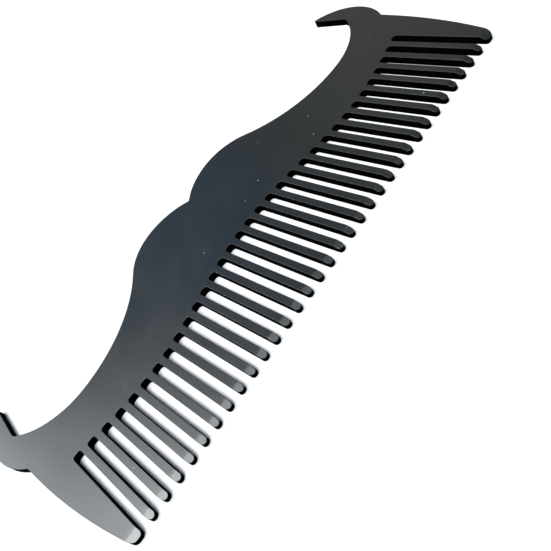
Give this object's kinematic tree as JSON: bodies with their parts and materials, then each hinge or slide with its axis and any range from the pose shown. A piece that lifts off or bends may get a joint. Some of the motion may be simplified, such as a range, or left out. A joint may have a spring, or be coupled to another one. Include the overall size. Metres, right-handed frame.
{
  "type": "beard comb",
  "caption": "Flat metal pocket comb for beards: its back is cut as a moustache with curled ends, over a straight row of bevelled teeth between wider guard teeth.",
  "frame": {"origin": "on the back face, under the middle of the comb's box", "axes": "+X along the row of teeth, +Y from the tooth tips to the moustache, +Z out of the front face, which has the tip bevel"},
  "size_m": [0.0886, 0.0342, 0.0012],
  "materials": {
    "black_coated_steel": "satin black coating on sheet steel"
  },
  "bodies": {
    "root": {"comb_plate": "black_coated_steel"}
  },
  "joints": []
}
